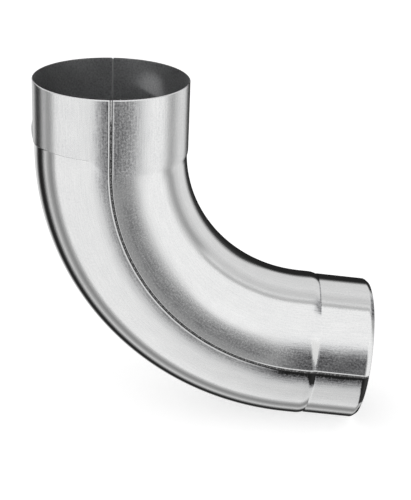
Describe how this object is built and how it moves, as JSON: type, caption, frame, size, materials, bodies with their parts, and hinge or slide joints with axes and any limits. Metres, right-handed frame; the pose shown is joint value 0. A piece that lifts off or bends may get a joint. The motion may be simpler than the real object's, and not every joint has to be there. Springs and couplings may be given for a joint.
{
  "type": "downspout elbow",
  "caption": "Round galvanised downspout elbow: welded half shells bend through nearly a right angle, from a wide socket above to a tapered spigot with a turned-in lip.",
  "frame": {"origin": "centre of the socket's mouth, in the plane of its rim", "axes": "+Z out of the mouth along the socket's axis, outlet bent round towards +X, XZ is the mirror plane"},
  "size_m": [0.2335, 0.1022, 0.2399],
  "materials": {
    "zinc_sheet": "galvanised, satin with a fine mottled grain",
    "weld": "fine rippled weld, darker beside its crown"
  },
  "bodies": {
    "root": {"heel_shell": "zinc_sheet", "throat_shell": "zinc_sheet", "near_side_weld": "weld", "far_side_weld": "weld"}
  },
  "joints": []
}
